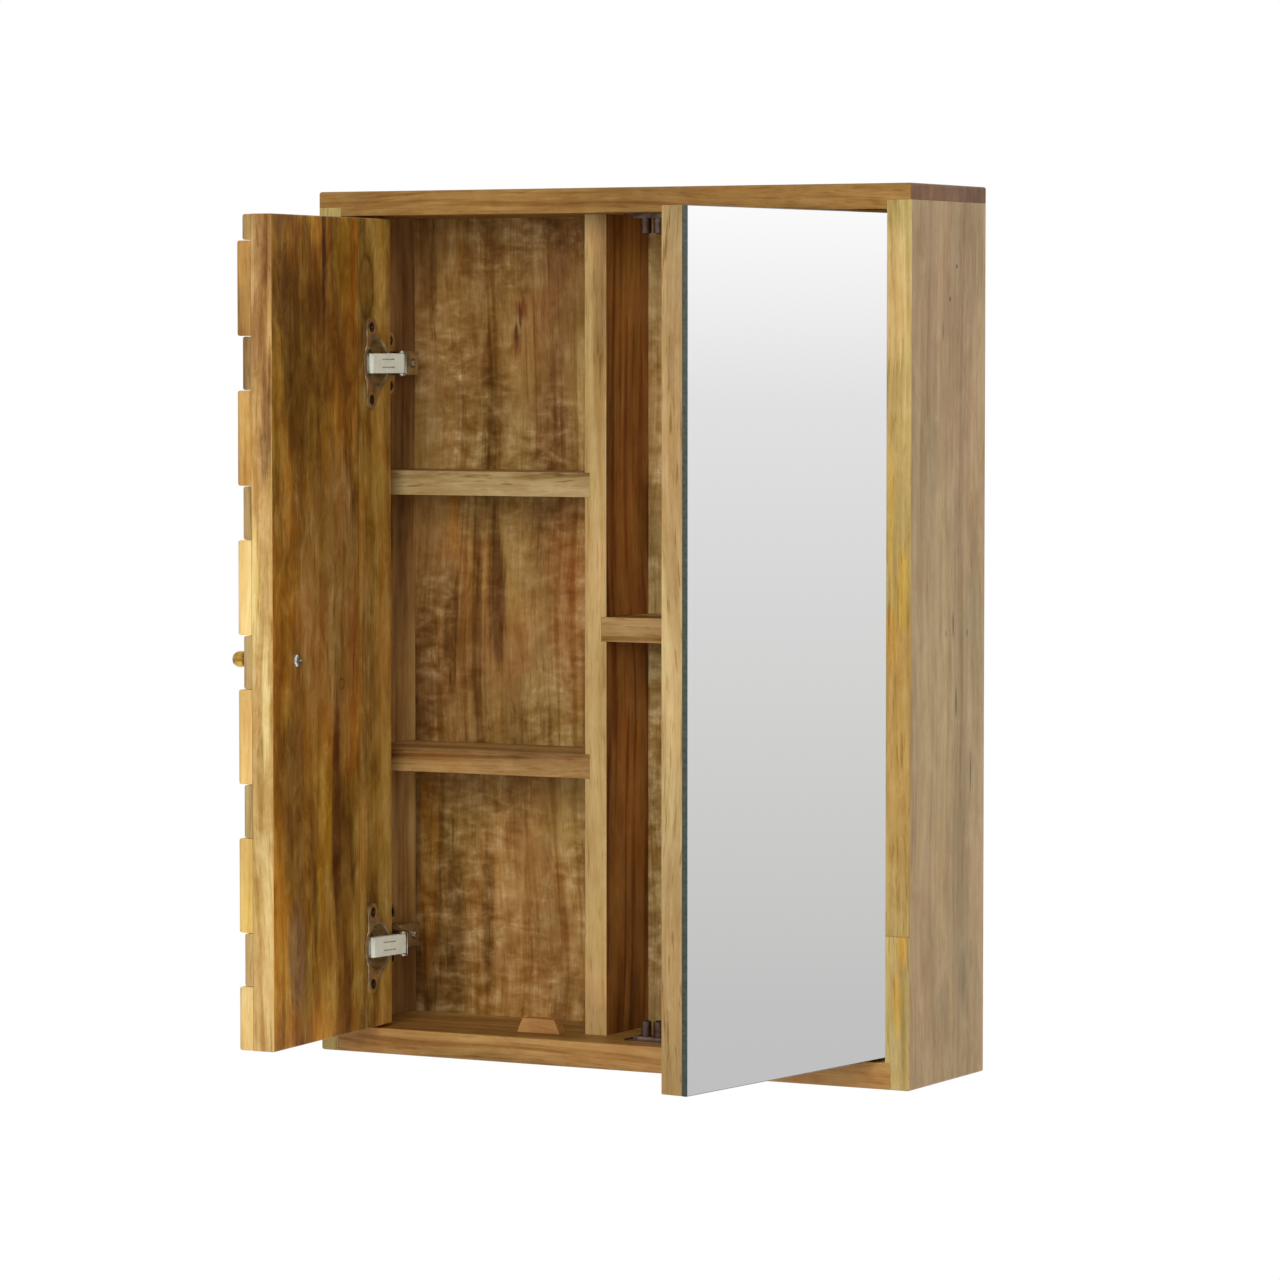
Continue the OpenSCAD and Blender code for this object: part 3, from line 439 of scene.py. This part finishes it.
divider_wood = wood(
    "divider_wood", ("4d2b0f", "6d4218", "855523", "9d6a30"), shift=(0.9, 0.1, 1.7),
    clouds=0.8, streak=1.0)
divider_edge_wood = wood(
    "divider_edge_wood", ("846840", "a28455", "b49765", "c6a978"), shift=(0.4, 1.9, 0.2),
    clouds=0.6, flecks=0.5)
shelf_wood = wood(
    "shelf_wood", ("6b4b2a", "8a673e", "9e7a4a", "b08e5f"), grain="X", shift=(1.9, 0.8, 0.6),
    streak=0.9, flecks=0.5)
pale_shelf_wood = wood(
    "pale_shelf_wood", ("6f5d3e", "907a51", "a18b61", "ae9b72"), grain="X",
    shift=(0.6, 1.2, 2.6), streak=0.9, flecks=1.0)
right_shelf_edge_wood = wood(
    "right_shelf_edge_wood", ("614324", "7d5c35", "8f6d3f", "a07f51"), grain="X",
    shift=(2.7, 0.2, 1.1), streak=0.8, flecks=0.5)
carcass_board("center_divider", divider_wood, divider_edge_wood)
carcass_board("upper_left_shelf", shelf_wood, pale_shelf_wood)
carcass_board("lower_left_shelf", shelf_wood)
carcass_board("right_shelf", shelf_wood, right_shelf_edge_wood)


# Door stop: a small block of reddish wood with sloping ends, glued to the bottom panel,
# that the carved door closes against.

stop_wood = wood(
    "stop_wood", ("9c6d3d", "c69759", "ddac6a", "f1c583"), grain="X", shift=(0.2, 2.9, 1.3),
    streak=0.7)
carcass_board("door_stop", stop_wood)


# Carved door's board: solid mango wood with upright grain, dark brown with golden
# streaks. The hinge cups are let into its inner face.

DOOR_SPOTS = [
    ((-0.171, -0.190, 0.312), (0.03, 0.060, 0.120), "a57c44", 0.75),
    ((-0.170, -0.230, 0.500), (0.03, 0.055, 0.120), "4c2e0c", 0.65),
    ((-0.171, -0.200, 0.540), (0.03, 0.004, 0.070), "3a220c", 0.8),
    ((-0.171, -0.243, 0.190), (0.03, 0.020, 0.100), "74502a", 0.65),
    ((-0.171, -0.205, 0.110), (0.03, 0.045, 0.090), "7c5426", 0.5),
    ((-0.171, -0.193, 0.195), (0.03, 0.007, 0.045), "966214", 0.9),
    ((-0.171, -0.198, 0.160), (0.03, 0.009, 0.045), "a8761f", 0.95),
    ((-0.171, -0.206, 0.125), (0.03, 0.010, 0.040), "a1701e", 0.95),
    ((-0.171, -0.216, 0.090), (0.03, 0.010, 0.034), "9a6e24", 0.85),
    ((-0.171, -0.228, 0.055), (0.03, 0.010, 0.034), "94712f", 0.85),
    ((-0.171, -0.184, 0.170), (0.03, 0.007, 0.090), "532a08", 0.9),
    ((-0.175, -0.147, 0.150), (0.03, 0.010, 0.050), "a97f3a", 0.9),
    ((-0.175, -0.150, 0.090), (0.03, 0.009, 0.050), "a9823e", 0.9),
    ((-0.175, -0.168, 0.045), (0.03, 0.008, 0.040), "6a4418", 0.8),
    ((-0.175, -0.195, 0.045), (0.03, 0.014, 0.036), "b8924a", 0.8),
    ((-0.170, -0.243, 0.080), (0.03, 0.016, 0.044), "86644a", 0.8),
    ((-0.171, -0.215, 0.110), (0.03, 0.005, 0.035), "5c3a12", 0.7),
    ((-0.175, -0.168, 0.560), (0.03, 0.018, 0.040), "7e5e14", 0.8),
    ((-0.177, -0.135, 0.533), (0.03, 0.017, 0.036), "7a5a22", 0.9),
]
DOOR_KNOTS = [
    ((-0.177, -0.136, 0.535), (0.03, 0.0085, 0.0170), "3a260c"),
    ((-0.171, -0.175, 0.262), (0.03, 0.0040, 0.0030), "3a220c"),
]
DOOR_EDGE_SPOTS = [
    ((-0.172, -0.276, 0.560), (0.012, 0.02, 0.040), "7a5228", 0.8),
    ((-0.178, -0.276, 0.500), (0.008, 0.02, 0.045), "84592f", 0.8),
    ((-0.171, -0.276, 0.440), (0.007, 0.02, 0.055), "74502a", 0.8),
    ((-0.180, -0.276, 0.330), (0.005, 0.02, 0.070), "dcc688", 0.8),
    ((-0.172, -0.276, 0.250), (0.004, 0.02, 0.070), "d4bd80", 0.8),
    ((-0.176, -0.276, 0.200), (0.004, 0.02, 0.060), "8f7038", 0.7),
    ((-0.170, -0.276, 0.090), (0.006, 0.02, 0.080), "cdb27a", 0.7),
]


DOOR_EASE = 0.0007


def door_board(node, material, body, edge_wood):
    """A door's board with all its long edges softened and its free edge in paler wood."""
    shape = cleaned(node)
    ease_edges(shape, sharp_edges(shape), DOOR_EASE, 2)
    woods = show_edge(shape, material, edge_wood, (0, -1, 0))
    return finished(node + "_wood", shape, woods, body, [node])


carved_door_wood = wood(
    "carved_door_wood", ("52340f", "795319", "9c6d26", "c0903e"), shift=(0.6, 0.35, 0.9),
    clouds=0.9, streak=0.35, mottle=1.1, flecks=0.5, hues=0.9, seam=(1, -0.149),
    far_tones=("66471b", "906c2c", "ad863e", "c59f54"), spots=DOOR_SPOTS, knots=DOOR_KNOTS)
door_edge_wood = wood(
    "door_edge_wood", ("78562d", "9b7642", "b08c56", "bea36d"), shift=(1.6, 1.1, 0.5),
    clouds=1.2, streak=0.8, flecks=0.6, mottle=0.9, spots=DOOR_EDGE_SPOTS)
door_board("carved_door_board", carved_door_wood, "carved_door", door_edge_wood)


# Carving: raised and low blocks of mango wood, glued to the board in three staggered
# columns. Each is cut from another piece of wood, so its tone and grain differ.


def islands(shape):
    """The separate solids of a bmesh, as lists of their vertices."""
    left = set(shape.verts)
    found = []
    for start in list(shape.verts):
        if start not in left:
            continue
        left.discard(start)
        group = [start]
        for vertex in group:
            for edge in vertex.link_edges:
                other = edge.other_vert(vertex)
                if other in left:
                    left.discard(other)
                    group.append(other)
        found.append(group)
    return found


def carved_blocks(node, material, seed):
    """The blocks of one height, each with a tone of its own."""
    shape = cleaned(node)
    tone = shape.loops.layers.float_color.new("block_tone")
    draw = random.Random(seed)
    for group in islands(shape):
        value = (draw.random(), draw.random(), draw.random(), 1.0)
        for vertex in group:
            for loop in vertex.link_loops:
                loop[tone] = value
    return finished(node + "_wood", shape, material, "carved_door", [node], smooth=32)


raised_wood = wood(
    "raised_wood", ("916b3b", "b89155", "cba968", "dcc07d"), clouds=0.7, streak=0.8,
    by_block=True)
low_wood = wood(
    "low_wood", ("644a27", "84683f", "997e4e", "ad9260"), clouds=0.7, streak=0.8,
    by_block=True)
carved_blocks("raised_blocks", raised_wood, 11)
carved_blocks("low_blocks", low_wood, 23)


# Mirror door's board: solid mango wood with upright grain behind the glass, paler on the
# free edge that faces the room.

mirror_board_wood = wood(
    "mirror_board_wood", ("5f4320", "7f5c30", "97713e", "ad8850"), shift=(1.3, 0.6, 0.1),
    clouds=0.7, streak=0.8)
MIRROR_EDGE_SPOTS = [
    ((0.166, -0.334, 0.090), (0.03, 0.05, 0.300), "86683f", 0.7),
    ((0.163, -0.334, 0.400), (0.006, 0.05, 0.060), "94764a", 0.5),
]
mirror_edge_wood = wood(
    "mirror_edge_wood", ("816943", "9a7f54", "aa8f61", "b8a071"), shift=(0.2, 1.5, 2.4),
    streak=0.3, flecks=0.9, spots=MIRROR_EDGE_SPOTS)
door_board("mirror_door_board", mirror_board_wood, "mirror_door", mirror_edge_wood)


# Mirror: one sheet of silvered float glass, glued flush to the door's front, with plain
# ground edges that look dark green.

silver, tree = empty_material("silvered_glass")
place = add_node(tree, "ShaderNodeTexCoord").outputs["Object"]
haze = add_node(
    tree, "ShaderNodeTexNoise", {"Vector": place, "Scale": 9.0, "Detail": 2.0}).outputs[0]
shader = add_node(
    tree, "ShaderNodeBsdfPrincipled",
    {"Base Color": linear("f5f4f4"), "Metallic": 1.0,
     "Roughness": ranged(tree, haze, 0.45, 0.8, 0.0, 0.02)})
add_node(tree, "ShaderNodeOutputMaterial", {"Surface": shader.outputs[0]})

glass_edge, tree = empty_material("ground_glass_edge")
place = add_node(tree, "ShaderNodeTexCoord").outputs["Object"]
chips = add_node(
    tree, "ShaderNodeTexNoise", {"Vector": place, "Scale": 420.0, "Detail": 3.0}).outputs[0]
bump = add_node(
    tree, "ShaderNodeBump", {"Height": chips, "Strength": 0.25, "Distance": 0.0003})
shader = add_node(
    tree, "ShaderNodeBsdfPrincipled",
    {"Base Color": ramp(tree, chips, [(0.3, "202b26"), (0.7, "3b483f")]),
     "Roughness": 0.15, "Normal": bump.outputs[0], "Coat Weight": 0.4, "Coat Roughness": 0.1})
add_node(tree, "ShaderNodeOutputMaterial", {"Surface": shader.outputs[0]})

GLASS_EASE = 0.0005
SHORTEST_GLASS_EDGE = 0.1
shape = cleaned("mirror_glass")
ease_edges(shape, sharp_edges(shape, SHORTEST_GLASS_EDGE), GLASS_EASE, 2)
front = max(shape.faces, key=lambda face: face.calc_area() + face.normal.x)
for face in shape.faces:
    face.material_index = 0 if face.normal.dot(front.normal) > 0.99 else 1
finished("mirror_sheet", shape, [silver, glass_edge], "mirror_door",
         ["mirror_glass"])


# Hinges: nickel-plated pressed steel. The plates and arms are fixed to the side panels,
# the cups are pressed into the doors, and the levers fold between them.


def metal(name, tone, dull, roughness, scratch=0.1, metallic=1.0, crevice_shade=None):
    """A metal, cloudy in tone and in polish from wear, that can have painted shade in its
    grooves.
    """
    material, tree = empty_material(name)
    place = add_node(tree, "ShaderNodeTexCoord").outputs["Object"]
    cloud = add_node(
        tree, "ShaderNodeTexNoise", {"Vector": place, "Scale": 130.0, "Detail": 4.0}).outputs[0]
    grit = add_node(
        tree, "ShaderNodeTexNoise", {"Vector": place, "Scale": 1900.0, "Detail": 2.0}).outputs[0]
    bump = add_node(
        tree, "ShaderNodeBump", {"Height": grit, "Strength": scratch, "Distance": 0.0002})
    colour = ramp(tree, cloud, [(0.35, dull), (0.6, tone)])
    if crevice_shade:
        # Painted shade: grooves and corners that an ambient occlusion node finds closed in are
        # darkened towards this colour.
        open_share = add_node(
            tree, "ShaderNodeAmbientOcclusion", {"Distance": 0.0012}, samples=16).outputs["AO"]
        colour = mixed(tree, ranged(tree, open_share, 0.45, 0.8), linear(crevice_shade), colour)
    shader = add_node(
        tree, "ShaderNodeBsdfPrincipled",
        {"Base Color": colour, "Metallic": metallic,
         "Roughness": ranged(tree, cloud, 0.3, 0.7, roughness + 0.14, roughness),
         "Normal": bump.outputs[0]})
    add_node(tree, "ShaderNodeOutputMaterial", {"Surface": shader.outputs[0]})
    return material


def metal_part(node, material, body, smooth=35):
    """A CAD node's own shape, joined up and shaded smooth where it is round."""
    piece = finished(
        node + "_metal", merged(node), material, body, [node], smooth=smooth)
    even = piece.modifiers.new("even_shading", "WEIGHTED_NORMAL")
    even.keep_sharp = True
    return piece


nickel = metal("nickel_plate", "d2cfc4", "a8a396", 0.24)
# The outer levers' near-white colour on a nearly matte finish is a painted reflection of the
# bright studio light on their nickel; the last colour is painted shade in their slots and
# corners.
nickel_painted_reflection = metal("nickel_painted_reflection", "f8fdee", "eef2e0", 0.42, 0.04, 0.1, "3a362c")
cup_nickel = metal("cup_nickel", "e0cda6", "b39d78", 0.36, 0.08)
for side, door in (("carved", "carved_door"), ("mirror", "mirror_door")):
    for part, slot in (("hinge_plates", "hinge_steel"), ("hinge_arms", "hinge_steel"),
                       ("arm_rivets", "hinge_steel"), ("arm_screws", "screw_steel")):
        piece = metal_part(f"{side}_{part}", nickel, "cabinet")
        piece.visible_glossy = side == "carved"
    metal_part(f"{side}_outer_levers", nickel_painted_reflection, f"{side}_levers")
    metal_part(f"{side}_inner_levers", nickel, f"{side}_levers")
    metal_part(f"{side}_hinge_cups", cup_nickel, door)
    metal_part(f"{side}_cup_pins", nickel, door)


# Screws: countersunk steel wood screws with a cross recess, which hold the hinge plates,
# the cups, the strikes and the hanging plates.

WOOD_SCREW_PROFILE = [
    (3.6, 0.0), (3.6, -0.4), (1.75, -2.2), (1.75, -8.0), (0.5, -9.6),
]
SLOT_HALF = 0.45
RECESS_DEPTH = 0.0013
RECESS_TAPER = 0.55


def cross_screw(shape, centre, facing, profile, reach=2.0):
    """One screw: a turned outline in millimetres from the head's face to the point, and
    a cross recess in the head."""
    first = len(shape.verts)
    rings = []
    for radius, level in profile:
        rings.append(bmesh.ops.create_circle(
            shape, cap_ends=False, radius=radius / 1000, segments=24,
            matrix=Matrix.Translation((0, 0, level / 1000)))["verts"])
    shape.edges.index_update()
    ring_edges = [
        sorted({edge for vertex in ring for edge in vertex.link_edges}, key=lambda e: e.index)
        for ring in rings]
    for upper, lower in zip(ring_edges, ring_edges[1:]):
        bmesh.ops.bridge_loops(shape, edges=upper + lower)
    bmesh.ops.contextual_create(shape, geom=ring_edges[-1])
    corners = [(reach, SLOT_HALF), (SLOT_HALF, SLOT_HALF), (SLOT_HALF, reach)]
    outline = []
    for turn in range(4):
        spin = Matrix.Rotation(math.radians(90 * turn), 3, "Z")
        for x, y in corners:
            outline.append(shape.verts.new(
                spin @ Vector((x / 1000, y / 1000, profile[0][1] / 1000))))
    recess = [
        shape.edges.new((outline[i], outline[(i + 1) % 12])) for i in range(12)]
    bmesh.ops.triangle_fill(shape, edges=ring_edges[0] + recess, use_beauty=True)
    walls = bmesh.ops.extrude_edge_only(shape, edges=recess)["geom"]
    bottom = [item for item in walls if isinstance(item, bmesh.types.BMVert)]
    bmesh.ops.scale(shape, vec=(RECESS_TAPER, RECESS_TAPER, 1), verts=bottom)
    bmesh.ops.translate(shape, vec=(0, 0, -RECESS_DEPTH), verts=bottom)
    bmesh.ops.contextual_create(
        shape, geom=[item for item in walls if isinstance(item, bmesh.types.BMEdge)
                     and all(v in bottom for v in item.verts)])
    shape.verts.ensure_lookup_table()
    turn = Vector((0, 0, 1)).rotation_difference(facing).to_matrix().to_4x4()
    bmesh.ops.transform(
        shape, matrix=Matrix.Translation(centre) @ turn, verts=shape.verts[first:])


def head_centres(node, facing):
    """The middle of each screw's head in a CAD node."""
    shape = merged(node)
    found = []
    for group in islands(shape):
        top = max(vertex.co.dot(facing) for vertex in group)
        rim = [vertex.co for vertex in group if vertex.co.dot(facing) > top - 0.00005]
        low = Vector([min(point[axis] for point in rim) for axis in range(3)])
        high = Vector([max(point[axis] for point in rim) for axis in range(3)])
        found.append((low + high) / 2)
    shape.free()
    return found


def screws(node, material, body, facing):
    """All the screws of one CAD node, with their heads towards facing."""
    shape = bmesh.new()
    facing = Vector(facing).normalized()
    for centre in head_centres(node, facing):
        cross_screw(shape, centre, facing, WOOD_SCREW_PROFILE)
    bmesh.ops.recalc_face_normals(shape, faces=shape.faces)
    return finished(node + "_heads", shape, material, body, [node], smooth=35)


dark_steel = metal("dark_screw_steel", "4a4744", "2b2927", 0.3)
CARVED_OPEN = math.radians(85.5)
MIRROR_OPEN = math.radians(83)
carved_inner = Vector((math.sin(CARVED_OPEN), math.cos(CARVED_OPEN), 0))
mirror_inner = Vector((-math.sin(MIRROR_OPEN), math.cos(MIRROR_OPEN), 0))
screws("carved_plate_screws", dark_steel, "cabinet", (1, 0, 0))
screws("mirror_plate_screws", dark_steel, "cabinet", (-1, 0, 0)).visible_glossy = False
screws("carved_cup_screws", dark_steel, "carved_door", carved_inner)
screws("mirror_cup_screws", dark_steel, "mirror_door", mirror_inner)
screws("strike_screws", dark_steel, "mirror_door", mirror_inner)
screws("hanging_screws", dark_steel, "cabinet", (0, 1, 0)).visible_glossy = False


# Knob: a slim turned brass knob near the carved door's free edge, held by a machine screw
# whose round head shows on the inner face.

brass = metal("knob_brass", "c9a04a", "96702c", 0.22)
metal_part("door_knob", brass, "carved_door", smooth=50)
KNOB_SCREW_PROFILE = [
    (2.6, 0.0), (3.7, -0.3), (4.5, -1.0), (4.8, -2.0), (4.8, -2.4), (2.0, -2.4),
    (2.0, -30.0), (1.2, -32.0),
]
shape = bmesh.new()
for centre in head_centres("knob_screw", carved_inner):
    cross_screw(shape, centre, carved_inner, KNOB_SCREW_PROFILE, 1.9)
bmesh.ops.recalc_face_normals(shape, faces=shape.faces)
zinc = metal("zinc_screw", "c8c6c0", "8f8c86", 0.24)
finished("knob_screw_head", shape, zinc, "carved_door", ["knob_screw"], smooth=40)


# Roller catches: bronzed steel housings screwed to the top and bottom panels, each with
# two sprung jaws that carry brown rollers. The strikes on the mirror door enter them.

bronze = metal("catch_bronze", "6f5b50", "4a3a32", 0.26, metallic=0.85)
for level in ("upper", "lower"):
    metal_part(f"{level}_catch_housing", bronze, "cabinet")
    for side in ("left", "right"):
        metal_part(f"{level}_{side}_jaw", bronze, f"{level}_{side}_jaw")
        metal_part(f"{level}_{side}_roller", bronze, f"{level}_{side}_roller")
metal_part("catch_strikes", bronze, "mirror_door")
metal_part("catch_screws", dark_steel, "cabinet")


# Hanging plates: zinc-plated keyhole plates let into the rear edges of the side panels
# and screwed down, so that the cabinet hangs close to the wall.

metal_part("hanging_plates", zinc, "cabinet").visible_glossy = False


# Room: the cabinet hangs over a plain pale floor in even studio light. The backdrop is
# white, and mirrors and metals see it fade towards the floor.

scene = bpy.context.scene
scene.view_settings.view_transform = "Standard"

FLOOR_LEVEL = -1.1
FLOOR_RADIUS = 3.0
floor_shape = bmesh.new()
bmesh.ops.create_circle(
    floor_shape, cap_ends=True, radius=FLOOR_RADIUS, segments=96,
    matrix=Matrix.Translation((0, 0, FLOOR_LEVEL)))
floor_mesh = bpy.data.meshes.new("floor")
floor_shape.to_mesh(floor_mesh)
floor_shape.free()
floor = bpy.data.objects.new("floor", floor_mesh)
scene.collection.objects.link(floor)
floor_paint, tree = empty_material("floor_paint")
light_path = add_node(tree, "ShaderNodeLightPath")
matt = add_node(tree, "ShaderNodeBsdfDiffuse", {"Color": linear("f4f4f2")})
glow = add_node(tree, "ShaderNodeEmission", {"Color": (1, 1, 1, 1), "Strength": 0.5})
both = add_node(tree, "ShaderNodeAddShader", {0: matt.outputs[0], 1: glow.outputs[0]})
seen = maths(tree, "MAXIMUM", light_path.outputs["Is Camera Ray"], maths(
    tree, "MAXIMUM", light_path.outputs["Is Glossy Ray"],
    light_path.outputs["Is Transmission Ray"]))
plain = add_node(
    tree, "ShaderNodeMixShader", {0: seen, 1: matt.outputs[0], 2: both.outputs[0]})
add_node(tree, "ShaderNodeOutputMaterial", {"Surface": plain.outputs[0]})
floor_mesh.materials.append(floor_paint)

WARM_WHITE = (1.0, 0.985, 0.96)
world = bpy.data.worlds.new("studio")
scene.world = world
world.use_nodes = True
tree = world.node_tree
tree.nodes.clear()
light_path = add_node(tree, "ShaderNodeLightPath")
heading = add_node(tree, "ShaderNodeTexCoord").outputs["Generated"]
rise = add_node(tree, "ShaderNodeSeparateXYZ", {0: heading}).outputs[2]
share = add_node(
    tree, "ShaderNodeMapRange", {0: rise, 1: -0.2, 2: 0.2, 3: 0.0, 4: 1.0}).outputs[0]
fade = ramp(tree, share, [
    (0.0, "c0c0c0"), (0.16, "c2c2c2"), (0.20, "c4c4c4"), (0.293, "ced0ce"),
    (0.384, "d9d9d9"), (0.4765, "e4e4e4"), (0.5225, "f2f2f2"), (0.566, "fefefe"),
])
ambient = add_node(
    tree, "ShaderNodeBackground", {"Color": (*WARM_WHITE, 1), "Strength": 0.55})
mirrored = add_node(tree, "ShaderNodeBackground", {"Color": fade, "Strength": 1.07})
white = add_node(tree, "ShaderNodeBackground", {"Color": (1, 1, 1, 1), "Strength": 1.0})
seen = maths(
    tree, "MAXIMUM", light_path.outputs["Is Camera Ray"],
    light_path.outputs["Is Transmission Ray"])
either = add_node(
    tree, "ShaderNodeMixShader",
    {0: light_path.outputs["Is Glossy Ray"], 1: ambient.outputs[0], 2: mirrored.outputs[0]})
sky = add_node(
    tree, "ShaderNodeMixShader", {0: seen, 1: either.outputs[0], 2: white.outputs[0]})
add_node(tree, "ShaderNodeOutputWorld", {"Surface": sky.outputs[0]})


def soft_lamp(name, place, target, size, power):
    """A square area lamp that faces a point."""
    data = bpy.data.lights.new(name, "AREA")
    data.shape = "SQUARE"
    data.size = size
    data.energy = power
    data.color = WARM_WHITE
    lamp = bpy.data.objects.new(name, data)
    scene.collection.objects.link(lamp)
    lamp.location = place
    lamp.rotation_euler = (Vector(target) - Vector(place)).to_track_quat("-Z", "Y").to_euler()
    lamp.visible_glossy = False


soft_lamp("front_lamp", (0.9, -3.3, 1.3), (0, 0, 0.3), 2.0, 62)
soft_lamp("right_lamp", (3.2, -1.2, 1.4), (0.1, -0.1, 0.3), 2.0, 14)

# The camera stands where the cabinet's corners in the photograph put it.
lens = bpy.data.cameras.new("camera")
lens.sensor_width = 36.0
lens.lens = 152.37
lens.clip_end = 60.0
camera = bpy.data.objects.new("camera", lens)
scene.collection.objects.link(camera)
camera.location = (1.769, -3.335, 0.491)
camera.rotation_euler = (math.radians(90 - 3.076), 0, math.radians(28.436))
scene.camera = camera
